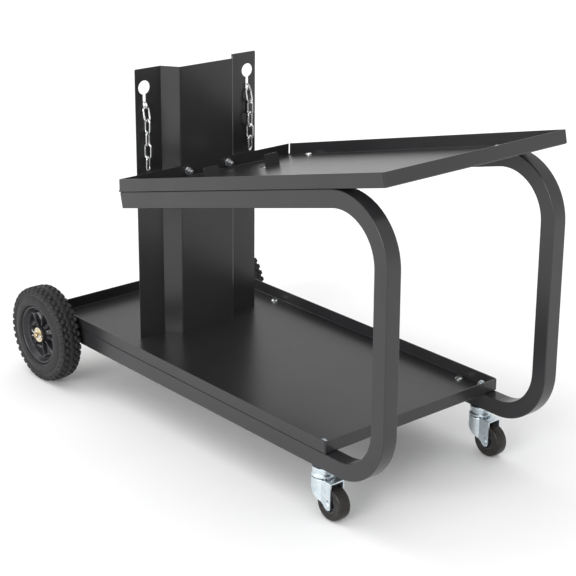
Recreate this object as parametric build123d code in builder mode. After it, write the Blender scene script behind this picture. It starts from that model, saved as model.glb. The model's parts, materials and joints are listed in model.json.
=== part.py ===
"""Two-shelf welding cart: bent square-tube sides, two folded trays, a folded bottle panel and chain.

X runs from the bottle end to the post end, Y runs across to the left, and Z runs up from the floor.
The origin is on the floor, midway along the cart's length and width.
"""

import math
import os

from build123d import *

os.makedirs("parts", exist_ok=True)

# ---- Driving dimensions (mm) ----
half_length = 437.85  # from the origin to the front of the posts and to the back of the wheels
frame_width = 350.0  # over the side tubes and both trays
sheet = 1.5
fold = 2.5  # outer radius of the trays' folds

# Side tubes
tube = 25.4
tube_wall = 1.2
tube_corner = 1.6
tube_bottom = 76.4
lower_bend = 76.0
upper_bend = 80.0
post_lean = 0.76  # degrees, tops towards the rear
post_x = 426.1  # post centreline where it would meet the lower run's centreline
upper_inset = 5.0  # top run's end, measured along the slope from the top tray's rear

# Lower tray
tray_rear_x = -377.35
tray_length = 701.0
tray_rim = 20.2
tray_corner = 2.5  # round at the top of each wall's end
corner_slit = 0.8

# Top tray
shelf_slope = 13.6  # degrees, post end higher
shelf_rear_x = -164.85
shelf_rear_z = 368.8
shelf_length = 608.6  # along the underside
shelf_rim = 20.5
rear_slit = 2.6  # between the rear wall and the side walls' rear ends
rear_slit_depth = 3.0  # how far the slit reaches in from the side
stop_tab_width = 29.0
stop_tab_height = 20.0
stop_tab_corner = 3.5
stop_tab_reach = 108.0  # from the tray's rear to a tab, along the slope
stop_tab_y = (49.0, -72.0)

# Back panel
panel_width = 241.0
panel_top = 550.2
panel_depth = 26.0  # from the flanges' plane to the middle's plane
panel_bend_y = 70.9
panel_middle_y = 52.4
panel_fold = 2.5
panel_corner = 2.0
keyhole_y = 103.6
keyhole_z = 520.0
keyhole_radius = 11.2
slot_width = 6.0
slot_bottom = 484.5
foot_depth = 22.0
foot_half_width = 45.4
foot_screw_y = 30.0
foot_screw_reach = 12.0  # from the flanges' plane

# Rear wheels
wheel_radius = 81.5
wheel_width = 40.0
wheel_inner_y = 179.0
rim_radius = 50.0
boss_radius = 15.0
spoke_count = 8
axle_radius = 4.75
axle_half_length = 222.0

# Casters
caster_x = 305.65
caster_trail = 24.0
caster_radius = 25.5
caster_width = 21.0
fork_width = 26.0
fork_sheet = 2.0
fork_top = 60.0
fork_front = 30.0  # from the swivel axis to the fork's front edge
skirt_radius = 17.0  # round back of the fork
race_radius = 17.3
stem_radius = 4.0
ball_radius = 2.45
ball_circle = 11.5
ball_count = 12
ball_rise = 1.5  # ball centres above the fork's top

# Chain
wire = 3.0
link_length = 26.4
link_width = 13.6
link_pitch = 20.0
tail_reach = 3.0  # from the flanges' middle plane to the wire that hangs in a slot link
tail_stand_off = 7.9  # from the same plane to the tail's vertical links
loop_links = 23
tail_twists = {"left": (4, 8, 20, 27, 24), "right": (4, 4, 31, 23, 31)}  # degrees, link by link

# Fasteners and fits
running = 0.05  # radial clearance of a shaft that turns in its hole
clearance = 0.3
screw_radius = 2.9
screw_head_radius = 6.2
screw_head_height = 3.2
nut_across = 10.0
lower_screw_x = (-185.35, 258.15)
shelf_screw_reach = (67.0, 491.0)  # from the top tray's rear, along the slope
panel_bolt_y = 41.0
panel_bolt_z = 380.6

# ---- Places worked out from the driving dimensions ----
sides = (("left", 1), ("right", -1))
slope = math.radians(shelf_slope)
lean = math.radians(post_lean)
tube_y = frame_width / 2 - tube / 2
tube_middle = tube_bottom + tube / 2
tray_bottom = tube_bottom + tube
tray_floor = tray_bottom + sheet
tray_middle_x = tray_rear_x + tray_length / 2
panel_flange_x = shelf_rear_x - panel_depth
panel_middle_x = panel_flange_x - sheet / 2
wheel_x = wheel_radius - half_length
wheel_y = wheel_inner_y + wheel_width / 2
caster_axle_x = caster_x + caster_trail

# The sloping run passes through the upper bend's corner, where it would meet the post.
shelf_plane = Plane(
    origin=(shelf_rear_x, 0, shelf_rear_z),
    x_dir=(math.cos(slope), 0, math.sin(slope)),
    z_dir=(-math.sin(slope), 0, math.cos(slope)),
)
run_start = shelf_plane.from_local_coords((upper_inset, 0, -tube / 2))
rise = math.tan(slope)
upper_x = (post_x + lean * (run_start.X * rise - run_start.Z + tube_middle)) / (1 + lean * rise)
upper_z = run_start.Z + (upper_x - run_start.X) * rise

lower_screw_places = [(x, sign * tube_y) for x in lower_screw_x for _, sign in sides]
shelf_screw_places = [(reach, sign * tube_y) for reach in shelf_screw_reach for _, sign in sides]
foot_screw_places = [(panel_flange_x + foot_screw_reach, sign * foot_screw_y) for _, sign in sides]
stem_places = [(caster_x, sign * tube_y) for _, sign in sides]
panel_bolt_places = [(sign * panel_bolt_y, panel_bolt_z) for _, sign in sides]
screw_hole = screw_radius + running
stem_hole = stem_radius + running
deep = 4 * sheet  # cutters reach well past a sheet
standing = (Align.CENTER, Align.CENTER, Align.MIN)
hanging = (Align.CENTER, Align.CENTER, Align.MAX)

# ---- Side tubes: lower run, post and sloping run in one bent tube ----
tube_hole_depth = 8.0
for side, sign in sides:
    with BuildPart() as side_tube:
        with BuildLine(Plane.XZ.offset(-sign * tube_y)) as tube_path:
            FilletPolyline(
                (tray_rear_x, tube_middle),
                (post_x, tube_middle),
                (upper_x, upper_z),
                (run_start.X, run_start.Z),
                radius=(lower_bend, upper_bend),
            )
        section = Plane(origin=tube_path.line @ 0, x_dir=(0, 1, 0), z_dir=tube_path.line % 0)
        with BuildSketch(section):
            RectangleRounded(tube, tube, tube_corner)
            bore = tube - 2 * tube_wall
            RectangleRounded(bore, bore, tube_corner - tube_wall, mode=Mode.SUBTRACT)
        sweep(path=tube_path.wire())
        with Locations((wheel_x, sign * tube_y, wheel_radius)):
            Cylinder(axle_radius + running, 2 * tube, rotation=(90, 0, 0), mode=Mode.SUBTRACT)
        with Locations((caster_x, sign * tube_y, tube_middle)):
            Cylinder(stem_hole, 2 * tube, mode=Mode.SUBTRACT)
        with Locations(*[(x, sign * tube_y, tray_bottom) for x in lower_screw_x]):
            Cylinder(screw_hole, tube_hole_depth, mode=Mode.SUBTRACT)
        screw_axes = [
            shelf_plane.location * Location((reach, sign * tube_y, 0)) for reach in shelf_screw_reach
        ]
        with Locations(*screw_axes):
            Cylinder(screw_hole, tube_hole_depth, mode=Mode.SUBTRACT)
    side_tube.part.label = f"side_tube_{side}"
    export_step(side_tube.part, f"parts/side_tube_{side}.step")

# ---- Plastic plugs in the tubes' open ends ----
plug_width = tube - 0.4
plug_inside = tube - 2 * tube_wall - 0.1
plug_flange = 1.2
plug_depth = 14.0
plug_wall = 2.0
plug_end = 2.0
lower_ends = [
    Plane(origin=(tray_rear_x, sign * tube_y, tube_middle), z_dir=(-1, 0, 0)) for _, sign in sides
]
upper_ends = [
    Plane(
        origin=shelf_plane.from_local_coords((upper_inset, sign * tube_y, -tube / 2)),
        x_dir=(0, 1, 0),
        z_dir=-shelf_plane.x_dir,
    )
    for _, sign in sides
]
with BuildPart() as tube_end_plugs:
    for end in lower_ends + upper_ends:
        with BuildSketch(end):
            RectangleRounded(plug_width, plug_width, tube_corner)
        extrude(amount=plug_flange)
        with BuildSketch(end):
            RectangleRounded(plug_inside, plug_inside, tube_corner - tube_wall)
        extrude(amount=-plug_depth)
        with BuildSketch(end.offset(-plug_depth)):
            Rectangle(plug_inside - 2 * plug_wall, plug_inside - 2 * plug_wall)
        extrude(amount=plug_depth - plug_end, mode=Mode.SUBTRACT)
tube_end_plugs.part.label = "tube_end_plugs"
export_step(tube_end_plugs.part, "parts/tube_end_plugs.step")

# ---- Lower tray: a folded pan with slit corners ----
with BuildPart() as lower_tray:
    with BuildSketch(Plane.XY.offset(tray_bottom)):
        with Locations((tray_middle_x, 0)):
            Rectangle(tray_length, frame_width)
    extrude(amount=tray_rim)
    fillet(lower_tray.faces().sort_by(Axis.Z)[0].edges(), fold)
    offset(amount=-sheet, openings=lower_tray.faces().sort_by(Axis.Z)[-1])
    with Locations((tray_middle_x, 0, tray_bottom + fold)):
        with GridLocations(tray_length - 2 * sheet - corner_slit, frame_width, 2, 2):
            Box(corner_slit, deep, tray_rim, align=standing, mode=Mode.SUBTRACT)
    wall_ends = lower_tray.edges().filter_by(Axis.X).group_by(Axis.Z)[-1].filter_by(
        lambda edge: edge.length < 2 * sheet
    )
    fillet(wall_ends.group_by(Axis.Y)[0] + wall_ends.group_by(Axis.Y)[-1], tray_corner)
    with BuildSketch(Plane.XY.offset(tray_bottom - sheet)):
        with Locations(*lower_screw_places, *foot_screw_places):
            Circle(screw_hole)
        with Locations(*stem_places):
            Circle(stem_hole)
    extrude(amount=deep, mode=Mode.SUBTRACT)
lower_tray.part.label = "lower_tray"
export_step(lower_tray.part, "parts/lower_tray.step")

# ---- Top tray: a sloping pan whose rear wall stands upright against the back panel ----
overrun = 20.0  # the blank starts this far behind the rear wall, and is cut off upright
slit_margin = 10.0
with BuildPart(shelf_plane) as top_tray:
    with Locations((-overrun, 0, 0)):
        Box(
            shelf_length + overrun,
            frame_width,
            shelf_rim,
            align=(Align.MIN, Align.CENTER, Align.MIN),
        )
    split(bisect_by=Plane(origin=(shelf_rear_x, 0, 0), z_dir=(1, 0, 0)), keep=Keep.TOP)
    shelf_axis = Axis(shelf_plane.origin, shelf_plane.z_dir)
    fillet(top_tray.faces().sort_by(shelf_axis)[0].edges(), fold)
    offset(amount=-sheet, openings=top_tray.faces().sort_by(shelf_axis)[-1])
    front_slit_x = shelf_length - sheet - corner_slit / 2
    for _, sign in sides:
        with Locations((front_slit_x, sign * frame_width / 2, fold)):
            Box(corner_slit, deep, shelf_rim, align=standing, mode=Mode.SUBTRACT)
    # Each stop tab is cut on three sides out of the floor behind it, and bent up.
    for tab_y in stop_tab_y:
        with Locations((stop_tab_reach, tab_y, 0)):
            Box(
                stop_tab_height,
                stop_tab_width + 2 * clearance,
                deep,
                align=(Align.MAX, Align.CENTER, Align.CENTER),
                mode=Mode.SUBTRACT,
            )
        tab_plane = Plane(
            origin=shelf_plane.from_local_coords((stop_tab_reach, tab_y, 0)),
            x_dir=(0, 1, 0),
            z_dir=shelf_plane.x_dir,
        )
        with BuildSketch(tab_plane):
            with Locations((0, (stop_tab_height + sheet) / 2)):
                tab_outline = Rectangle(stop_tab_width, stop_tab_height + sheet)
            fillet(tab_outline.vertices().group_by(Axis.Z)[-1], stop_tab_corner)
        extrude(amount=sheet)
    with Locations(*shelf_screw_places):
        Cylinder(screw_hole, deep, mode=Mode.SUBTRACT)
    for _, sign in sides:
        with BuildSketch(Plane.XY.offset(shelf_rear_z + fold + 1)):
            slit_y = frame_width / 2 - rear_slit_depth + slit_margin / 2
            with Locations((shelf_rear_x + rear_slit, sign * slit_y)):
                Rectangle(slit_margin, slit_margin, align=(Align.MAX, Align.CENTER))
        extrude(amount=2 * shelf_rim, mode=Mode.SUBTRACT)
    with BuildSketch(Plane.YZ.offset(shelf_rear_x + sheet)):
        with Locations(*panel_bolt_places):
            Circle(screw_hole)
    extrude(amount=-2 * sheet, mode=Mode.SUBTRACT)
top_tray.part.label = "top_tray"
export_step(top_tray.part, "parts/top_tray.step")

# ---- Back panel: a folded channel with a keyhole in each flange and a foot flange behind ----
panel_half = [
    (panel_flange_x - sheet, panel_width / 2),
    (panel_flange_x - sheet, panel_bend_y),
    (shelf_rear_x - sheet, panel_middle_y),
]
panel_line = panel_half + [(x, -y) for x, y in reversed(panel_half)]
slot_round_z = slot_bottom + slot_width / 2
with BuildPart() as back_panel:
    with BuildSketch(Plane.XY.offset(tray_floor)):
        with BuildLine():
            FilletPolyline(*panel_line, radius=panel_fold)
            offset(amount=sheet, side=Side.LEFT)
        make_face()
    extrude(amount=panel_top - tray_floor)
    with BuildSketch(Plane.XY.offset(tray_floor)):
        with Locations((shelf_rear_x - sheet, 0)):
            Rectangle(foot_depth, 2 * foot_half_width, align=(Align.MAX, Align.CENTER))
    extrude(amount=sheet)
    flange_corners = back_panel.edges().filter_by(Axis.X).group_by(Axis.Z)[-1]
    fillet(flange_corners.group_by(Axis.Y)[0] + flange_corners.group_by(Axis.Y)[-1], panel_corner)
    with BuildSketch(Plane.YZ.offset(panel_middle_x - deep / 2)):
        for _, sign in sides:
            with Locations((sign * keyhole_y, keyhole_z)):
                Circle(keyhole_radius)
            with Locations((sign * keyhole_y, (keyhole_z + slot_round_z) / 2)):
                Rectangle(slot_width, keyhole_z - slot_round_z)
            with Locations((sign * keyhole_y, slot_round_z)):
                Circle(slot_width / 2)
    extrude(amount=deep, mode=Mode.SUBTRACT)
    with BuildSketch(Plane.YZ.offset(shelf_rear_x + sheet)):
        with Locations(*panel_bolt_places):
            Circle(screw_hole)
    extrude(amount=-deep, mode=Mode.SUBTRACT)
    with BuildSketch(Plane.XY.offset(tray_floor - sheet)):
        with Locations(*foot_screw_places):
            Circle(screw_hole)
    extrude(amount=deep, mode=Mode.SUBTRACT)
back_panel.part.label = "back_panel"
export_step(back_panel.part, "parts/back_panel.step")

# ---- Pan-head screws, with a cross recess, in three groups ----
head_skirt = 1.2  # straight edge of the head, under its dome
head_taper = 42.0  # degrees
cross_length = 4.6
cross_width = 1.1
cross_depth = 1.5
lower_heads = [Location((x, y, tray_floor)) for x, y in lower_screw_places]
shelf_heads = [shelf_plane.location * Location((x, y, sheet)) for x, y in shelf_screw_places]
foot_heads = [Location((x, y, tray_floor + sheet)) for x, y in foot_screw_places]
screw_groups = (
    # name, places of the heads' undersides, shank length
    ("lower_tray_screws", lower_heads, 9.0),
    ("top_tray_screws", shelf_heads, 9.0),
    ("panel_foot_screws", foot_heads, 8.0),
)
for name, places, shank in screw_groups:
    with BuildPart() as screws:
        with Locations(*places):
            Cylinder(screw_head_radius, head_skirt, align=standing)
        for place in places:
            with BuildSketch(Plane(place).offset(head_skirt)):
                Circle(screw_head_radius)
            extrude(amount=screw_head_height - head_skirt, taper=head_taper)
        with Locations(*places):
            Cylinder(screw_radius, shank, align=hanging)
        with Locations(*[place * Location((0, 0, screw_head_height)) for place in places]):
            Box(cross_length, cross_width, 2 * cross_depth, mode=Mode.SUBTRACT)
            Box(cross_width, cross_length, 2 * cross_depth, mode=Mode.SUBTRACT)
    screws.part.label = name
    export_step(screws.part, f"parts/{name}.step")

# ---- Bolts through the panel and the top tray's rear wall, with washers and nuts in front ----
bolt_head = 4.0
washer_radius = 6.4
washer_thickness = 1.4
nut_height = 4.2
nut_collar = 2.4
bolt_proud = 3.8  # bolt's end past the nut's collar
bolt_chamfer = 0.6
bolt_axes = [Plane(origin=(shelf_rear_x, y, z), z_dir=(1, 0, 0)) for y, z in panel_bolt_places]
nut_reach = sheet + washer_thickness
bolt_length = 2 * sheet + washer_thickness + nut_height + nut_collar + bolt_proud
with BuildPart() as panel_bolts:
    for axis in bolt_axes:
        with BuildSketch(axis.offset(-sheet)):
            RegularPolygon(nut_across / 2, 6, major_radius=False)
        extrude(amount=-bolt_head)
        with BuildSketch(axis.offset(-sheet)):
            Circle(screw_radius)
        extrude(amount=bolt_length)
    chamfer(panel_bolts.faces().sort_by(Axis.X)[-2:].edges(), bolt_chamfer)
panel_bolts.part.label = "panel_bolts"
export_step(panel_bolts.part, "parts/panel_bolts.step")

with BuildPart() as panel_washers:
    for axis in bolt_axes:
        with BuildSketch(axis.offset(sheet)):
            Circle(washer_radius)
            Circle(screw_hole, mode=Mode.SUBTRACT)
        extrude(amount=washer_thickness)
panel_washers.part.label = "panel_washers"
export_step(panel_washers.part, "parts/panel_washers.step")

with BuildPart() as panel_nuts:
    for axis in bolt_axes:
        with BuildSketch(axis.offset(nut_reach)):
            RegularPolygon(nut_across / 2, 6, major_radius=False)
            Circle(screw_hole, mode=Mode.SUBTRACT)
        extrude(amount=nut_height)
        with BuildSketch(axis.offset(nut_reach + nut_height)):
            Circle(nut_across / 2 - 0.4)
            Circle(screw_hole, mode=Mode.SUBTRACT)
        extrude(amount=nut_collar)
panel_nuts.part.label = "panel_nuts"
export_step(panel_nuts.part, "parts/panel_nuts.step")

# ---- Rear axle with its washers and split pins ----
axle_chamfer = 1.0
pin_y = axle_half_length - 4.0
pin_radius = 1.3
pin_head = 1.6  # pin's length past the axle, on the loop's side
pin_tail = 1.0
with BuildPart() as rear_axle:
    with Locations((wheel_x, 0, wheel_radius)):
        Cylinder(axle_radius, 2 * axle_half_length, rotation=(90, 0, 0))
    chamfer(rear_axle.edges(), axle_chamfer)
    with Locations((wheel_x, pin_y, wheel_radius), (wheel_x, -pin_y, wheel_radius)):
        Cylinder(pin_radius + running, 3 * axle_radius, rotation=(0, 90, 0), mode=Mode.SUBTRACT)
rear_axle.part.label = "rear_axle"
export_step(rear_axle.part, "parts/rear_axle.step")

inner_washer = 2.6
outer_washer = 1.6
end_washer = 1.2
wide_washer_radius = 12.5
end_washer_radius = 8.5
boss_inner_y = frame_width / 2 + inner_washer + clearance
boss_outer_y = wheel_inner_y + wheel_width - 5.4
washer_stack = (
    # distance from the middle plane, thickness, radius
    (frame_width / 2, inner_washer, wide_washer_radius),
    (boss_outer_y + clearance, outer_washer, wide_washer_radius),
    (boss_outer_y + clearance + outer_washer, end_washer, end_washer_radius),
)
with BuildPart() as axle_washers:
    for _, sign in sides:
        for reach, thickness, radius in washer_stack:
            washer_plane = Plane(origin=(wheel_x, sign * reach, wheel_radius), z_dir=(0, sign, 0))
            with BuildSketch(washer_plane):
                Circle(radius)
                Circle(axle_radius + running, mode=Mode.SUBTRACT)
            extrude(amount=thickness)
axle_washers.part.label = "axle_washers"
export_step(axle_washers.part, "parts/axle_washers.step")

pin_loop_radius = 2.6
pin_wire = 0.9
pin_loop_reach = axle_radius + 4.2
pin_leg_radius = 0.8
pin_leg_length = 9.0
pin_leg_spread = 5.0
with BuildPart() as split_pins:
    for _, sign in sides:
        pin_plane = Plane.XZ.offset(-sign * pin_y)
        pin_start = (wheel_x - axle_radius - pin_tail, wheel_radius)
        with BuildLine(pin_plane) as pin_path:
            Line(pin_start, (wheel_x + axle_radius + pin_head, wheel_radius))
        with BuildSketch(Plane(origin=pin_path.line @ 0, z_dir=pin_path.line % 0)):
            Circle(pin_radius)
        sweep(path=pin_path.wire())
        with Locations((wheel_x + pin_loop_reach, sign * pin_y, wheel_radius)):
            Torus(pin_loop_radius, pin_wire, rotation=(90, 0, 0))
        for spread in (-pin_leg_spread, pin_leg_spread):
            with BuildLine(pin_plane) as leg_path:
                Line(pin_start, (pin_start[0] - pin_leg_length, wheel_radius + spread))
            with BuildSketch(Plane(origin=leg_path.line @ 0, z_dir=leg_path.line % 0)):
                Circle(pin_leg_radius)
            sweep(path=leg_path.wire())
split_pins.part.label = "split_pins"
export_step(split_pins.part, "parts/split_pins.step")

# ---- Rear wheels: rubber tyre, plastic hub and two bushes each ----
half_width = wheel_width / 2
shoulder = (9.0, 2.5)  # where the tread's edge turns in: below the crown, in from the side
crown_drop = 1.0
crown_inset = 8.0
rim_wall = 3.5
rim_inset = 3.0
rim_ledge = 7.0  # the rim's inner step
rim_ledge_inset = 11.0
web = 3.5
spoke_depth = 13.0
spoke_back = -4.0
spoke_root = 2.6  # half widths at the boss and at the rim
spoke_tip = 6.5
bush_radius = 7.5
bush_length = 13.0
hub_bore = axle_radius + 1.2
for side, sign in sides:
    wheel_origin = (wheel_x, sign * wheel_y, wheel_radius)
    wheel_plane = Plane(origin=wheel_origin, x_dir=(1, 0, 0), z_dir=(0, sign, 0))
    axis_plane = Plane(origin=wheel_origin, x_dir=(0, sign, 0), z_dir=(-sign, 0, 0))
    spin_axis = Axis(wheel_plane.origin, wheel_plane.z_dir)

    with BuildPart() as wheel_tyre:
        with BuildSketch(axis_plane):
            with BuildLine():
                Polyline(
                    (half_width, rim_radius),
                    (half_width, wheel_radius - shoulder[0]),
                    (half_width - shoulder[1], wheel_radius - crown_drop - 1),
                    (half_width - crown_inset, wheel_radius),
                    (0, wheel_radius),
                    (0, rim_radius),
                    close=True,
                )
            make_face()
            mirror(about=Plane.YZ)
        revolve(axis=spin_axis)
    wheel_tyre.part.label = f"wheel_tyre_{side}"
    export_step(wheel_tyre.part, f"parts/wheel_tyre_{side}.step")

    boss_inner = boss_inner_y - wheel_y
    boss_outer = boss_outer_y - wheel_y
    with BuildPart() as wheel_hub:
        with BuildSketch(wheel_plane.offset(rim_inset - half_width)):
            Circle(rim_radius)
            Circle(rim_radius - rim_wall, mode=Mode.SUBTRACT)
        extrude(amount=wheel_width - 2 * rim_inset)
        with BuildSketch(wheel_plane.offset(half_width - rim_ledge_inset)):
            Circle(rim_radius - rim_wall)
            Circle(rim_radius - rim_ledge, mode=Mode.SUBTRACT)
        extrude(amount=-web)
        with BuildSketch(wheel_plane.offset(spoke_back)):
            Circle(rim_radius - rim_wall)
        extrude(amount=web)
        with BuildSketch(wheel_plane.offset(boss_inner)):
            Circle(boss_radius)
        extrude(amount=boss_outer - boss_inner)
        with BuildSketch(wheel_plane.offset(spoke_back)):
            with PolarLocations(0, spoke_count):
                with BuildLine():
                    Polyline(
                        (boss_radius - 2, -spoke_root),
                        (rim_radius - rim_wall + 0.5, -spoke_tip),
                        (rim_radius - rim_wall + 0.5, spoke_tip),
                        (boss_radius - 2, spoke_root),
                        close=True,
                    )
                make_face()
        extrude(amount=spoke_depth)
        with BuildSketch(wheel_plane.offset(boss_inner)):
            Circle(hub_bore)
        extrude(amount=boss_outer - boss_inner, mode=Mode.SUBTRACT)
        for start, direction in ((boss_inner, 1), (boss_outer, -1)):
            with BuildSketch(wheel_plane.offset(start)):
                Circle(bush_radius)
            extrude(amount=direction * bush_length, mode=Mode.SUBTRACT)
    wheel_hub.part.label = f"wheel_hub_{side}"
    export_step(wheel_hub.part, f"parts/wheel_hub_{side}.step")

    with BuildPart() as wheel_bushes:
        for start, direction in ((boss_inner, 1), (boss_outer, -1)):
            with BuildSketch(wheel_plane.offset(start)):
                Circle(bush_radius)
                Circle(axle_radius + running, mode=Mode.SUBTRACT)
            extrude(amount=direction * bush_length)
    wheel_bushes.part.label = f"wheel_bushes_{side}"
    export_step(wheel_bushes.part, f"parts/wheel_bushes_{side}.step")

# ---- Caster stems, top races, washers and nuts: fixed to the frame ----
fork_inside = fork_top - fork_sheet
stem_head_radius = 7.5
stem_head = 2.5
stem_proud = 10.5  # above the washer on the lower tray
stem_chamfer = 0.8
stem_washer_radius = 8.5
stem_washer = 1.6
stem_nut_half = 6.5
stem_nut_height = 5.6
stem_collar_radius = 5.9
stem_collar = 2.2
washer_top = tray_floor + stem_washer
stem_bottom = fork_inside - clearance
with BuildPart() as caster_stems:
    with BuildSketch(Plane.XY.offset(stem_bottom)):
        with Locations(*stem_places):
            Circle(stem_head_radius)
    extrude(amount=-stem_head)
    with BuildSketch(Plane.XY.offset(stem_bottom)):
        with Locations(*stem_places):
            Circle(stem_radius)
    extrude(amount=washer_top + stem_proud - stem_bottom)
    chamfer(caster_stems.faces().sort_by(Axis.Z)[-2:].edges(), stem_chamfer)
caster_stems.part.label = "caster_stems"
export_step(caster_stems.part, "parts/caster_stems.step")

# A pressed cup: a rolled lip over the balls, a slight waist, and a flat top under the tube.
race_bottom = fork_top + ball_rise + ball_radius
lip_drop = 1.6
lip_rise = 0.4
waist_radius = race_radius - 2.3
waist_z = race_bottom + 3.0
cup_top_radius = race_radius - 1.2
with BuildPart() as caster_top_races:
    for place in stem_places:
        with BuildSketch(Plane(origin=(*place, 0), x_dir=(1, 0, 0), z_dir=(0, -1, 0))):
            with BuildLine():
                Polyline(
                    (stem_hole, race_bottom + clearance),
                    (ball_circle + 1.5, race_bottom + clearance),
                    (race_radius - 1.2, race_bottom - lip_drop),
                    (race_radius, race_bottom - lip_drop),
                    (race_radius, race_bottom + lip_rise),
                    (waist_radius, waist_z),
                    (cup_top_radius, tube_bottom - 3),
                    (cup_top_radius, tube_bottom),
                    (stem_hole, tube_bottom),
                    close=True,
                )
            make_face()
        revolve(axis=Axis((*place, 0), (0, 0, 1)))
caster_top_races.part.label = "caster_top_races"
export_step(caster_top_races.part, "parts/caster_top_races.step")

with BuildPart() as caster_stem_washers:
    with BuildSketch(Plane.XY.offset(tray_floor)):
        with Locations(*stem_places):
            Circle(stem_washer_radius)
            Circle(stem_hole, mode=Mode.SUBTRACT)
    extrude(amount=stem_washer)
caster_stem_washers.part.label = "caster_stem_washers"
export_step(caster_stem_washers.part, "parts/caster_stem_washers.step")

with BuildPart() as caster_stem_nuts:
    with BuildSketch(Plane.XY.offset(washer_top)):
        with Locations(*stem_places):
            RegularPolygon(stem_nut_half, 6, major_radius=False)
            Circle(stem_hole, mode=Mode.SUBTRACT)
    extrude(amount=stem_nut_height)
    with BuildSketch(Plane.XY.offset(washer_top + stem_nut_height)):
        with Locations(*stem_places):
            Circle(stem_collar_radius)
            Circle(stem_hole, mode=Mode.SUBTRACT)
    extrude(amount=stem_collar)
caster_stem_nuts.part.label = "caster_stem_nuts"
export_step(caster_stem_nuts.part, "parts/caster_stem_nuts.step")

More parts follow.
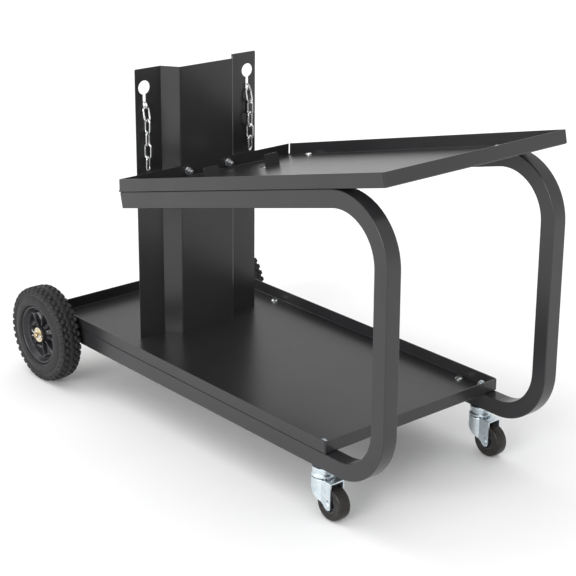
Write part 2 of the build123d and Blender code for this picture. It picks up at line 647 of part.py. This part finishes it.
# ---- Casters: pressed fork, balls and riveted axle turn about the stem; the wheel rolls in it ----
fork_half = fork_width / 2
fork_round = 1.2
tip_radius = 7.8
fork_side_gap = 0.5  # how far the side outline stands off the fork's front
knee_z = caster_radius + 8
skirt_bottom = fork_top - 9
skirt_corner = (4.0, 7.0)
relief_radius = 1.3
relief_rise = 6.6  # small hole above the axle
pin = 3.0
rivet_radius = 3.6
rivet_height = 1.1
rivet_chamfer = 0.6
core_radius = 13.5
core_wall = 3.0
core_inset = 1.0
core_web_inset = 4.0
core_bush_radius = 5.0
core_boss_radius = 7.0
tread_corner = 3.0
tread_side = 4.0
tread_crown = 0.5
half_tread = caster_width / 2
for side, sign in sides:
    swivel_y = sign * tube_y
    swivel_plane = Plane(origin=(caster_x, swivel_y, 0))
    roll_origin = (caster_axle_x, swivel_y, caster_radius)
    roll_plane = Plane(origin=roll_origin, x_dir=(1, 0, 0), z_dir=(0, sign, 0))
    roll_section = Plane(origin=roll_origin, x_dir=(0, sign, 0), z_dir=(-sign, 0, 0))
    roll_axis = Axis(roll_plane.origin, roll_plane.z_dir)

    with BuildPart() as caster_fork:
        with BuildSketch(swivel_plane):
            Circle(skirt_radius)
            Rectangle(fork_front, fork_width, align=(Align.MIN, Align.CENTER))
        extrude(amount=fork_top)
        fillet(caster_fork.faces().sort_by(Axis.Z)[-1].edges(), fork_round)
        with BuildSketch(swivel_plane):
            Circle(skirt_radius - fork_sheet)
            Rectangle(
                fork_front + 1, fork_width - 2 * fork_sheet, align=(Align.MIN, Align.CENTER)
            )
        extrude(amount=fork_inside, mode=Mode.SUBTRACT)
        front_x = caster_x + fork_front + fork_side_gap
        back_x = caster_x - skirt_radius - 1
        with BuildSketch(Plane.XZ.offset(-swivel_y)):
            with BuildLine():
                tip = CenterArc((caster_axle_x, caster_radius), tip_radius, 205, 155)
                Polyline(
                    tip @ 1,
                    (front_x, knee_z),
                    (front_x, fork_top + 1),
                    (back_x, fork_top + 1),
                    (back_x, skirt_bottom),
                    (back_x + 1 + skirt_corner[0], skirt_bottom - skirt_corner[1]),
                    tip @ 0,
                )
            make_face()
        extrude(amount=fork_width, both=True, mode=Mode.INTERSECT)
        with Locations((caster_x, swivel_y, fork_top)):
            Cylinder(stem_hole, 3 * fork_sheet, mode=Mode.SUBTRACT)
        with Locations((caster_x, swivel_y, fork_top + ball_rise)):
            Torus(ball_circle, ball_radius + running, mode=Mode.SUBTRACT)
        with Locations(roll_origin):
            Cylinder(pin + running, 2 * fork_width, rotation=(90, 0, 0), mode=Mode.SUBTRACT)
        with Locations((caster_axle_x, swivel_y, caster_radius + relief_rise)):
            Cylinder(relief_radius, 2 * fork_width, rotation=(90, 0, 0), mode=Mode.SUBTRACT)
    caster_fork.part.label = f"caster_fork_{side}"
    export_step(caster_fork.part, f"parts/caster_fork_{side}.step")

    with BuildPart() as caster_balls:
        with Locations((caster_x, swivel_y, fork_top + ball_rise)):
            with PolarLocations(ball_circle, ball_count):
                Sphere(ball_radius)
    caster_balls.part.label = f"caster_balls_{side}"
    export_step(caster_balls.part, f"parts/caster_balls_{side}.step")

    with BuildPart() as caster_axle:
        with BuildSketch(roll_plane.offset(-fork_half)):
            Circle(pin)
        extrude(amount=fork_width)
        for start, height in ((-fork_half, -rivet_height), (fork_half, rivet_height)):
            with BuildSketch(roll_plane.offset(start)):
                Circle(rivet_radius)
            extrude(amount=height)
        chamfer(caster_axle.faces().sort_by(Axis.Y)[0].edges(), rivet_chamfer)
        chamfer(caster_axle.faces().sort_by(Axis.Y)[-1].edges(), rivet_chamfer)
    caster_axle.part.label = f"caster_axle_{side}"
    export_step(caster_axle.part, f"parts/caster_axle_{side}.step")

    with BuildPart() as caster_tyre:
        with BuildSketch(roll_section):
            with BuildLine():
                ThreePointArc(
                    (tread_corner - half_tread, caster_radius - tread_crown),
                    (0, caster_radius),
                    (half_tread - tread_corner, caster_radius - tread_crown),
                )
                Polyline(
                    (half_tread - tread_corner, caster_radius - tread_crown),
                    (half_tread, caster_radius - tread_side),
                    (half_tread - core_inset, core_radius),
                    (core_inset - half_tread, core_radius),
                    (-half_tread, caster_radius - tread_side),
                    (tread_corner - half_tread, caster_radius - tread_crown),
                )
            make_face()
        revolve(axis=roll_axis)
    caster_tyre.part.label = f"caster_tyre_{side}"
    export_step(caster_tyre.part, f"parts/caster_tyre_{side}.step")

    with BuildPart() as caster_core:
        with BuildSketch(roll_plane.offset(core_inset - half_tread)):
            Circle(core_radius)
            Circle(core_radius - core_wall, mode=Mode.SUBTRACT)
        extrude(amount=caster_width - 2 * core_inset)
        with BuildSketch(roll_plane.offset(core_web_inset - half_tread)):
            Circle(core_radius - core_wall)
        extrude(amount=caster_width - 2 * core_web_inset)
        with BuildSketch(roll_plane.offset(-half_tread)):
            Circle(core_boss_radius)
        extrude(amount=caster_width)
        with BuildSketch(roll_plane.offset(-half_tread)):
            Circle(core_bush_radius)
        extrude(amount=caster_width, mode=Mode.SUBTRACT)
    caster_core.part.label = f"caster_core_{side}"
    export_step(caster_core.part, f"parts/caster_core_{side}.step")

    bush_half = fork_half - fork_sheet - clearance
    with BuildPart() as caster_bush:
        with BuildSketch(roll_plane.offset(-bush_half)):
            Circle(core_bush_radius)
            Circle(pin + running, mode=Mode.SUBTRACT)
        extrude(amount=2 * bush_half)
    caster_bush.part.label = f"caster_bush_{side}"
    export_step(caster_bush.part, f"parts/caster_bush_{side}.step")

# ---- Chain: a link seated in each slot, a tail in front of each, and a loop behind the panel ----
with BuildPart(mode=Mode.PRIVATE) as link:
    with BuildSketch(Plane.XZ, mode=Mode.PRIVATE) as link_outline:
        SlotOverall(link_length - wire, link_width - wire, rotation=90)
    link_path = link_outline.sketch.wire()
    with BuildSketch(Plane(origin=link_path @ 0, z_dir=link_path % 0)):
        Circle(wire / 2)
    sweep(path=link_path)

# A slot link lies through its slot, drawn back until the tail's first link meets the panel.
# The links next to it hang in its two bows, hang_reach and hang_drop from the bows' centres.
bow_reach = (link_length - link_width) / 2  # from a link's middle to its bows' centres
hang_reach = 1.46
hang_drop = 1.22
slot_link_z = slot_bottom + link_width / 2 + running
slot_link_x = panel_middle_x + tail_reach - hang_reach - bow_reach
tail_x = panel_middle_x + tail_reach
loop_x = slot_link_x - bow_reach - hang_reach
hang_z = slot_link_z - hang_drop
with BuildPart() as chain_slot_links:
    with Locations(*[(slot_link_x, sign * keyhole_y, slot_link_z) for _, sign in sides]):
        add(link.part, rotation=(0, 90, 0))
chain_slot_links.part.label = "chain_slot_links"
export_step(chain_slot_links.part, "parts/chain_slot_links.step")

# A tail's first link leans out to its joint with the second, and the others hang straight down.
link_hang = (link_length - wire) / 2  # from a link's middle to the middle of its end wire
first_length = link_hang + link_pitch / 2
first_lean = math.asin((tail_stand_off - tail_reach) / first_length)
second_x = tail_x + first_length * math.sin(first_lean)
second_z = hang_z - first_length * math.cos(first_lean) - link_pitch / 2
first_x = tail_x + link_hang * math.sin(first_lean)
first_z = hang_z - link_hang * math.cos(first_lean)
for side, sign in sides:
    first_twist, *other_twists = tail_twists[side]
    with BuildPart() as chain_tail:
        with Locations(Location((first_x, sign * keyhole_y, first_z), (0, -math.degrees(first_lean), 0))):
            add(link.part, rotation=(0, 0, 90 + first_twist))
        for number, twist in enumerate(other_twists):
            link_z = second_z - number * link_pitch
            across = 0 if number % 2 == 0 else 90
            with Locations((second_x, sign * keyhole_y, link_z)):
                add(link.part, rotation=(0, 0, across + twist))
    chain_tail.part.label = f"chain_tail_{side}"
    export_step(chain_tail.part, f"parts/chain_tail_{side}.step")


def loop_angles(steepness):
    """Each link's angle below the horizontal: its tangent grows evenly along a hanging chain."""
    middle = (loop_links - 1) / 2
    return [math.atan(steepness * (middle - number)) for number in range(loop_links)]


# The steepness that makes the loop span the two slots is found by halving.
flat, steep = 0.0, 10.0
for _ in range(50):
    steepness = (flat + steep) / 2
    if sum(link_pitch * math.cos(angle) for angle in loop_angles(steepness)) > 2 * keyhole_y:
        flat = steepness
    else:
        steep = steepness
with BuildPart() as chain_loop:
    joint_y = keyhole_y
    joint_z = hang_z - (link_length - wire - link_pitch) / 2
    for number, angle in enumerate(loop_angles(steepness)):
        step_y = -link_pitch * math.cos(angle)
        step_z = -link_pitch * math.sin(angle)
        tilt = math.degrees(math.atan2(-step_y, step_z))
        across = 90 if number % 2 == 0 else 0
        with Locations(Location((loop_x, joint_y + step_y / 2, joint_z + step_z / 2), (tilt, 0, 0))):
            add(link.part, rotation=(0, 0, across))
        joint_y += step_y
        joint_z += step_z
chain_loop.part.label = "chain_loop"
export_step(chain_loop.part, "parts/chain_loop.step")
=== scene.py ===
"""Looks of the two-shelf welding cart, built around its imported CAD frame. Metres, +Z up."""

import json
import math

import bmesh
import bpy
from mathutils import Matrix, Vector


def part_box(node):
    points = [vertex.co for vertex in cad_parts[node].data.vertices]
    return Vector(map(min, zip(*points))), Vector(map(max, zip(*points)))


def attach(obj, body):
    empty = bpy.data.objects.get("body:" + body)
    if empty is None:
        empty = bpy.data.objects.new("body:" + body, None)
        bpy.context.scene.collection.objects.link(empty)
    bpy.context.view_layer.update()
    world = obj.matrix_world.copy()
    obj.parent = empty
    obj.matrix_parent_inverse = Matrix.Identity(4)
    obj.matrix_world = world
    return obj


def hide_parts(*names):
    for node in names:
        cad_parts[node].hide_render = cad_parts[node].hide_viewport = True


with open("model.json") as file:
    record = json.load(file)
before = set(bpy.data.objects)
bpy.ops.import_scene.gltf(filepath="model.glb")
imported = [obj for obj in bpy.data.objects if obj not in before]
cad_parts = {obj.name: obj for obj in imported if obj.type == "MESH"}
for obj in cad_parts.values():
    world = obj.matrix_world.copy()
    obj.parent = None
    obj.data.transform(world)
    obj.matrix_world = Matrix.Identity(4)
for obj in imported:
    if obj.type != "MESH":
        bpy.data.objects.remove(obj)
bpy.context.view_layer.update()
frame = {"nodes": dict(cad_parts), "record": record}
nodes = frame["nodes"]
SIDES = (("left", 1), ("right", -1))  # a side's name, and the way along Y that faces out of the cart
MM = 0.001


# ---- Material helpers ----
NOISE_RUN = (0.3, 0.7)  # the values that a noise texture mostly stays between


def new_material(name):
    material = bpy.data.materials.new(name)
    material.use_nodes = True
    return material, material.node_tree.nodes["Principled BSDF"]


def add_node(material, kind, **values):
    """A new node, with its inputs or its own settings given by name."""
    node = material.node_tree.nodes.new(kind)
    for key, value in values.items():
        if key in node.inputs:
            node.inputs[key].default_value = value
        else:
            setattr(node, key, value)
    return node


def join(material, output, socket):
    material.node_tree.links.new(output, socket)


def noise(material, scale, detail, roughness=0.5, stretch=(1, 1, 1)):
    """Noise in the object's own coordinates, in cycles per metre."""
    coordinates = add_node(material, "ShaderNodeTexCoord")
    mapping = add_node(material, "ShaderNodeMapping", Scale=stretch)
    texture = add_node(material, "ShaderNodeTexNoise", Scale=scale, Detail=detail, Roughness=roughness)
    join(material, coordinates.outputs["Object"], mapping.inputs["Vector"])
    join(material, mapping.outputs["Vector"], texture.inputs["Vector"])
    return texture.outputs["Fac"]


def vary_roughness(material, shader, value, low, high):
    """Roughness that follows the noise, from low to high over its usual run."""
    node = add_node(material, "ShaderNodeMapRange", clamp=False)
    node.inputs["From Min"].default_value = NOISE_RUN[0]
    node.inputs["From Max"].default_value = NOISE_RUN[1]
    node.inputs["To Min"].default_value = low
    node.inputs["To Max"].default_value = high
    join(material, value, node.inputs["Value"])
    join(material, node.outputs["Result"], shader.inputs["Roughness"])


def vary_colour(material, shader, value, dark, light):
    """Colour that follows the noise, from dark to light over its usual run."""
    ramp = add_node(material, "ShaderNodeValToRGB")
    for element, position, tint in zip(ramp.color_ramp.elements, NOISE_RUN, (dark, light)):
        element.position = position
        element.color = (*tint, 1)
    join(material, value, ramp.inputs["Fac"])
    join(material, ramp.outputs["Color"], shader.inputs["Base Color"])


def bump(material, shader, value, depth):
    """Bumps that follow the noise; depth is in metres."""
    node = add_node(material, "ShaderNodeBump", Strength=1.0, Distance=depth)
    join(material, value, node.inputs["Height"])
    join(material, node.outputs["Normal"], shader.inputs["Normal"])


# ---- Materials ----
def powder_coat():
    """Semi-gloss black paint with a fine orange peel."""
    material, shader = new_material("powder_coat")
    vary_colour(material, shader, noise(material, 9, 4), (0.018, 0.018, 0.019), (0.024, 0.024, 0.026))
    vary_roughness(material, shader, noise(material, 45, 2), 0.29, 0.31)
    shader.inputs["Specular IOR Level"].default_value = 0.5
    bump(material, shader, noise(material, 420, 2), depth=0.00001)
    return material


def plated(name, dark, light, rough=(0.18, 0.34), grain=(1, 1, 1), grain_scale=300):
    """Zinc-plated steel: cloudy passivation over a faint grain."""
    material, shader = new_material(name)
    shader.inputs["Metallic"].default_value = 1
    vary_colour(material, shader, noise(material, 120, 5, 0.6), dark, light)
    streaks = noise(material, grain_scale, 4, 0.6, grain)
    vary_roughness(material, shader, streaks, *rough)
    bump(material, shader, streaks, depth=0.00003)
    return material


def rubber(name, dark, light, rough):
    material, shader = new_material(name)
    shader.inputs["Specular IOR Level"].default_value = 0.28
    vary_colour(material, shader, noise(material, 35, 5), dark, light)
    vary_roughness(material, shader, noise(material, 160, 4), *rough)
    bump(material, shader, noise(material, 1400, 3), depth=0.00006)
    return material


def plastic(name, dark, light, rough):
    material, shader = new_material(name)
    vary_colour(material, shader, noise(material, 60, 4), dark, light)
    vary_roughness(material, shader, noise(material, 220, 3), *rough)
    bump(material, shader, noise(material, 2200, 2), depth=0.00002)
    return material


MATERIALS = {  # by slot: name, darkest and lightest colour, least and most roughness
    "powder_coat": powder_coat(),
    "plug_plastic": plastic("plug_plastic", (0.02, 0.02, 0.02), (0.03, 0.03, 0.03), (0.4, 0.55)),
    "zinc_plate": plated("zinc_plate", (0.62, 0.63, 0.64), (0.80, 0.81, 0.82)),
    "axle_steel": plated("axle_steel", (0.36, 0.27, 0.16), (0.55, 0.44, 0.28), (0.25, 0.4)),
    "yellow_zinc": plated("yellow_zinc", (0.62, 0.53, 0.34), (0.84, 0.78, 0.62)),
    "blue_zinc": plated(
        "blue_zinc", (0.60, 0.70, 0.76), (0.82, 0.88, 0.91), (0.28, 0.42), grain=(1, 1, 6), grain_scale=120
    ),
    "bearing_steel": plated("bearing_steel", (0.7, 0.7, 0.7), (0.8, 0.8, 0.8), (0.08, 0.15)),
    "tyre_rubber": rubber("tyre_rubber", (0.012, 0.012, 0.013), (0.021, 0.020, 0.022), (0.42, 0.6)),
    "caster_rubber": rubber(
        "caster_rubber", (0.014, 0.012, 0.011), (0.024, 0.021, 0.019), (0.24, 0.38)
    ),
    "hub_plastic": plastic("hub_plastic", (0.010, 0.010, 0.012), (0.018, 0.018, 0.021), (0.26, 0.38)),
    "bush_nylon": plastic("bush_nylon", (0.62, 0.58, 0.46), (0.75, 0.72, 0.60), (0.35, 0.5)),
    "chain_zinc": plated("chain_zinc", (0.66, 0.67, 0.68), (0.86, 0.86, 0.86), (0.15, 0.3)),
}


# ---- Camera, light and floor ----
CAMERA_PLACE = (1.78980, -1.51289, 1.0745)
CAMERA_AZIMUTH = 49.19  # degrees, from -Y towards +X
CAMERA_ELEVATION = 20.09
CAMERA_ROLL = 0.6
CAMERA_LENS = 98.64  # millimetres, like the sensor's width
SENSOR_WIDTH = 36
SKY = ((0.0, 1.04), (0.10, 1.0), (0.30, 0.88), (0.60, 0.76), (1.0, 1.30))  # (sine of elevation, brightness)
FLOOR_HALF = 15


def make_camera():
    """The photograph's view: from the front right, a little above the cart."""
    azimuth = math.radians(CAMERA_AZIMUTH)
    elevation = math.radians(CAMERA_ELEVATION)
    roll = math.radians(CAMERA_ROLL)
    back = Vector(
        (
            math.sin(azimuth) * math.cos(elevation),
            -math.cos(azimuth) * math.cos(elevation),
            math.sin(elevation),
        )
    )
    right = (-back).cross(Vector((0, 0, 1))).normalized()
    up = right.cross(-back)
    rolled_right = right * math.cos(roll) + up * math.sin(roll)
    rolled_up = up * math.cos(roll) - right * math.sin(roll)
    data = bpy.data.cameras.new("camera")
    data.lens = CAMERA_LENS
    data.sensor_width = SENSOR_WIDTH
    camera = bpy.data.objects.new("camera", data)
    bpy.context.scene.collection.objects.link(camera)
    turn = Matrix((rolled_right, rolled_up, back)).transposed().to_4x4()
    camera.matrix_world = Matrix.Translation(CAMERA_PLACE) @ turn
    bpy.context.scene.camera = camera


def make_sky():
    """A white dome, dimmer at the height of a wall and brightest overhead."""
    world = bpy.data.worlds.new("studio")
    world.use_nodes = True
    tree = world.node_tree
    background = tree.nodes["Background"]
    direction = tree.nodes.new("ShaderNodeTexCoord")
    parts = tree.nodes.new("ShaderNodeSeparateXYZ")
    ramp = tree.nodes.new("ShaderNodeValToRGB")
    brightest = max(brightness for _, brightness in SKY)
    while len(ramp.color_ramp.elements) < len(SKY):
        ramp.color_ramp.elements.new(1.0)
    for element, (height, brightness) in zip(ramp.color_ramp.elements, SKY):
        element.position = height
        element.color = (brightness / brightest,) * 3 + (1,)
    tree.links.new(direction.outputs["Generated"], parts.inputs["Vector"])
    tree.links.new(parts.outputs["Z"], ramp.inputs["Fac"])
    tree.links.new(ramp.outputs["Color"], background.inputs["Color"])
    background.inputs["Strength"].default_value = brightest
    bpy.context.scene.world = world
    bpy.context.scene.view_settings.view_transform = "Standard"


def soft_sun(name, position, strength, spread):
    """Even light from that side, as soft as a lamp that spreads over so many degrees."""
    data = bpy.data.lights.new(name, "SUN")
    data.energy = strength
    data.angle = math.radians(spread)
    sun = bpy.data.objects.new(name, data)
    bpy.context.scene.collection.objects.link(sun)
    sun.location = position
    sun.rotation_euler = (-Vector(position)).to_track_quat("-Z", "Y").to_euler()


def make_floor():
    mesh = bpy.data.meshes.new("floor")
    corners = [(x * FLOOR_HALF, y * FLOOR_HALF, 0) for x, y in ((-1, -1), (1, -1), (1, 1), (-1, 1))]
    mesh.from_pydata(corners, [], [(0, 1, 2, 3)])
    floor = bpy.data.objects.new("floor", mesh)
    bpy.context.scene.collection.objects.link(floor)
    material, shader = new_material("floor_paint")
    vary_colour(material, shader, noise(material, 3, 2), (0.93, 0.93, 0.93), (0.96, 0.96, 0.96))
    shader.inputs["Roughness"].default_value = 0.9
    shader.inputs["Specular IOR Level"].default_value = 0.1
    mesh.materials.append(material)


# ---- Turned pieces ----
def smooth_step(value, start, end):
    """0 before start, 1 after end, and a soft S between them."""
    share = min(max((value - start) / (end - start), 0.0), 1.0)
    return share * share * (3 - 2 * share)


def rounded_path(corners, steps):
    """A smooth line through the corners, with that many steps between each two (Catmull-Rom)."""
    ends = [corners[0], *corners, corners[-1]]
    line = []
    for before, start, end, after in zip(ends, ends[1:], ends[2:], ends[3:]):
        for step in range(steps):
            t = step / steps
            line.append(
                tuple(
                    0.5 * (2 * b + (c - a) * t + (2 * a - 5 * b + 4 * c - d) * t**2
                           + (3 * b - a - 3 * c + d) * t**3)
                    for a, b, c, d in zip(before, start, end, after)
                )
            )
    return line + [corners[-1]]


def both_halves(half_line):
    """The whole section, from a half that ends in the middle and the same half mirrored."""
    return half_line + [(-reach, radius) for reach, radius in reversed(half_line[:-1])]


def turned_mesh(name, section, columns, centre, outward, shift=None):
    """A closed section of (reach, radius) points in mm, turned about the Y axis through the centre.

    Outward is +1 or -1 along Y. shift(row, turn) gives a place's own change of (reach, radius).
    """
    mesh = bmesh.new()
    rings = []
    for row, (reach, radius) in enumerate(section):
        ring = []
        for column in range(columns):
            turn = column / columns
            extra = shift(row, turn) if shift else (0, 0)
            angle = 2 * math.pi * turn
            along = outward * (reach + extra[0])
            away = radius + extra[1]
            place = Vector((away * math.cos(angle), along, away * math.sin(angle)))
            ring.append(mesh.verts.new(centre + place * MM))
        rings.append(ring)
    for row, ring in enumerate(rings):
        following = rings[(row + 1) % len(rings)]
        for column in range(columns):
            beside = (column + 1) % columns
            mesh.faces.new((ring[column], ring[beside], following[beside], following[column]))
    bmesh.ops.recalc_face_normals(mesh, faces=mesh.faces)
    for face in mesh.faces:
        face.smooth = True
    data = bpy.data.meshes.new(name)
    mesh.to_mesh(data)
    mesh.free()
    piece = bpy.data.objects.new(name, data)
    bpy.context.scene.collection.objects.link(piece)
    return piece


def finish_piece(piece, body, slot, replaced):
    """The piece rides on the body, in the slot's material, in place of the replaced node."""
    piece.data.materials.append(MATERIALS[slot])
    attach(piece, body)
    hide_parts(replaced)


def node_centre(node):
    low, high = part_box(node)
    return (Vector(low) + Vector(high)) / 2


# ---- Rear tyres: coned sidewalls and a knobbed tread. Reaches and radii in mm ----
SHOULDER = (18.2, 78.3)  # where the tread's pattern ends
TYRE_HALF = (  # (reach, radius) from the bead to the tread's middle
    (16.4, 50.0),
    (18.4, 50.8),
    (20.2, 52.6),
    (20.7, 54.8),
    (20.3, 59.5),
    (19.3, 64.0),
    (18.0, 66.6),
    (18.3, 68.6),
    (19.3, 70.8),
    (19.4, 75.0),
    SHOULDER,
    (15.4, 80.4),
    (10.4, 81.3),
    (5.0, 81.5),
    (0.0, 81.5),
)
ROW_STEPS = 4
TREAD_PITCHES = 40  # knobs around each row
PITCH_COLUMNS = 12
TREAD_DEPTH = 3.0
# Across the tread, 0 is its middle and 1 its shoulder. Along it, 0 is a knob's middle and 0.5 a lug's.
RIB_SIDE = (0.15, 0.23)
RIB_ZIGZAG = 0.3
KNOB_ROW = 0.43
KNOB_SIDE = (0.12, 0.19)
KNOB_END = (0.24, 0.36)
LUG_STARTS = (0.70, 0.56)  # short and long lugs take turns around the shoulder
LUG_SLOPE = 0.09
LUG_END = (0.25, 0.36)  # from the lug's middle
GROOVE_FADE = (1.08, 1.42)  # where the grooves run out, down the sidewall


def tread_height(across, turn):
    """1 on a rib, knob or lug and 0 in a groove."""
    pitches = turn * TREAD_PITCHES
    along = abs(pitches % 1 - 0.5)
    zigzag = RIB_ZIGZAG * (along - 0.25)
    rib = 1 - smooth_step(across - zigzag, *RIB_SIDE)
    knob = (1 - smooth_step(abs(across - KNOB_ROW), *KNOB_SIDE)) * (1 - smooth_step(along, *KNOB_END))
    lug_start = LUG_STARTS[round(pitches) % 2]
    lug_side = smooth_step(across, lug_start, lug_start + LUG_SLOPE)
    lug = lug_side * (1 - smooth_step(0.5 - along, *LUG_END))
    return max(rib, knob, lug)


def make_tyre(side, outward):
    section = both_halves(rounded_path(TYRE_HALF, ROW_STEPS))
    arc = [0.0]
    for start, end in zip(section, section[1:]):
        arc.append(arc[-1] + math.dist(start, end))
    middle = arc[-1] / 2
    tread_half = middle - arc[ROW_STEPS * TYRE_HALF.index(SHOULDER)]

    def cut(row, turn):
        """The tread's grooves go in square to the surface, and fade out past the shoulder."""
        across = abs(arc[row] - middle) / tread_half
        share = 1 - smooth_step(across, *GROOVE_FADE)
        if share == 0:
            return 0, 0
        stagger = 0.5 / TREAD_PITCHES if arc[row] > middle else 0
        depth = TREAD_DEPTH * share * (1 - tread_height(min(across, 1), turn + stagger))
        before = section[max(row - 1, 0)]
        after = section[min(row + 1, len(section) - 1)]
        heading = Vector(after) - Vector(before)
        heading.normalize()
        return -depth * heading.y, depth * heading.x

    centre = node_centre(f"wheel_tyre_{side}")
    columns = PITCH_COLUMNS * TREAD_PITCHES
    piece = turned_mesh(f"tyre_{side}", section, columns, centre, outward, cut)
    finish_piece(piece, f"rear_wheel_{side}", "tyre_rubber", f"wheel_tyre_{side}")


# ---- Rear hubs: a dished web with ribs and scooped pockets. Reaches and radii in mm ----
HUB_RIBS = 8
RIB_COLUMNS = 40  # from each rib to the next
RIM_RADIUS = 50.0
DISH_EDGE = 41.6
DISH_TOP = 8.4
BOSS_RADIUS = 13.2
BOSS_OUTER = 14.6
BOSS_INNER = -21.1
BORE_RADIUS = 7.6
BORE_EDGE = 8.2
WEB_ROWS = 16
WEB_OUTER = DISH_EDGE - 0.6
WEB_INNER = BOSS_RADIUS + 0.4
WEB_BACK = -6.8
POCKET_FLOOR = -3.6
POCKET_SCOOP = 6.5  # how far the floor rises from a pocket's middle to its ribs
POCKET_OUTER_END = (0.90, 1.0)  # shares of the way from the boss to the dish's edge
POCKET_INNER_END = (0.0, 0.12)
INNER_END_HEIGHT = 0.6  # as a share of the rib's
RIB_SLOPE = 1.5  # how far a rib rises from the dish's edge to the boss
RIB_FLANK = (0.7, 2.0)  # from the rib's middle


def pocket_height(radius, turn):
    """Height over the pockets' floor: scooped pockets between thin ribs from the boss to the dish's edge."""
    share = (radius - BOSS_RADIUS) / (DISH_EDGE - BOSS_RADIUS)
    half_pocket = math.pi * radius / HUB_RIBS
    from_rib = half_pocket * (1 - abs((turn * HUB_RIBS) % 1 - 0.5) * 2)
    scoop = POCKET_SCOOP * (1 - from_rib / half_pocket) ** 2
    rib_height = DISH_TOP - POCKET_FLOOR + RIB_SLOPE * (1 - share)
    rib = rib_height * (1 - smooth_step(from_rib, *RIB_FLANK))
    outer_end = rib_height * smooth_step(share, *POCKET_OUTER_END)
    inner_end = INNER_END_HEIGHT * rib_height * (1 - smooth_step(share, *POCKET_INNER_END))
    return max(scoop, rib, outer_end, inner_end)


def make_hub(side, outward):
    radii = [WEB_OUTER - (WEB_OUTER - WEB_INNER) * row / WEB_ROWS for row in range(WEB_ROWS + 1)]
    front_rim = [(-15.5, RIM_RADIUS), (15.2, RIM_RADIUS), (16.8, 49.5), (17.5, 48.5), (17.4, 47.2)]
    dish = [(16.6, 46.4), (15.2, 45.6), (12.0, 44.0), (9.2, 42.4), (DISH_TOP, DISH_EDGE)]
    front_web = [(POCKET_FLOOR, radius) for radius in radii]
    boss = [
        (4.0, BOSS_RADIUS),
        (11.5, 13.0),
        (13.9, 12.8),
        (BOSS_OUTER, 12.2),
        (BOSS_OUTER, BORE_EDGE),
        (13.9, BORE_RADIUS),
        (BOSS_INNER + 0.6, BORE_RADIUS),
        (BOSS_INNER, BORE_EDGE),
        (BOSS_INNER, 13.5),
        (BOSS_INNER + 0.8, 14.2),
        (-12.0, 14.8),
    ]
    back_web = [(WEB_BACK, radius) for radius in reversed(radii)]
    back_wall = [(-9.0, 44.0), (-15.0, 44.8), (-16.6, 45.8), (-17.2, 47.2), (-16.8, 49.0)]
    section = front_rim + dish + front_web + boss + back_web + back_wall
    web_start = len(front_rim) + len(dish)
    web_rows = range(web_start, web_start + len(front_web))

    def pockets(row, turn):
        """Only the web's front has them."""
        return (pocket_height(section[row][1], turn) if row in web_rows else 0), 0

    centre = node_centre(f"wheel_tyre_{side}")
    piece = turned_mesh(f"hub_{side}", section, RIB_COLUMNS * HUB_RIBS, centre, outward, pockets)
    finish_piece(piece, f"rear_wheel_{side}", "hub_plastic", f"wheel_hub_{side}")


# ---- Caster tyres: a crowned tread with shallow moulded grooves. Reaches and radii in mm ----
CASTER_HALF = (  # (reach, radius) from the bore's edge to the tread's middle
    (9.5, 13.6),
    (9.6, 16.0),
    (10.2, 17.2),
    (10.5, 19.6),
    (10.4, 21.8),
    (9.7, 23.6),
    (8.2, 24.7),
    (6.6, 25.0),
    (6.0, 24.6),
    (5.4, 25.1),
    (3.0, 25.35),
    (2.4, 25.0),
    (1.8, 25.4),
    (0.0, 25.5),
)
CASTER_STEPS = 3
CASTER_COLUMNS = 128


def make_caster_tyre(side, outward):
    section = both_halves(rounded_path(CASTER_HALF, CASTER_STEPS))
    centre = node_centre(f"caster_tyre_{side}")
    piece = turned_mesh(f"caster_tread_{side}", section, CASTER_COLUMNS, centre, outward)
    finish_piece(piece, f"caster_wheel_{side}", "caster_rubber", f"caster_tyre_{side}")


# ---- The scene ----
def dress_cad_nodes():
    """Every CAD node gets its slot's material."""
    for subpart in frame["record"]["subparts"]:
        mesh = nodes[subpart["node"]].data
        mesh.materials.clear()
        mesh.materials.append(MATERIALS[subpart["material_slot"]])


make_sky()
soft_sun("key", (0.6, -2.5, 0.8), strength=1.9, spread=32)
soft_sun("fill", (-1.5, -1.0, 2.4), strength=0.4, spread=40)
make_floor()
make_camera()
dress_cad_nodes()
for side, outward in SIDES:
    make_tyre(side, outward)
    make_hub(side, outward)
    make_caster_tyre(side, outward)
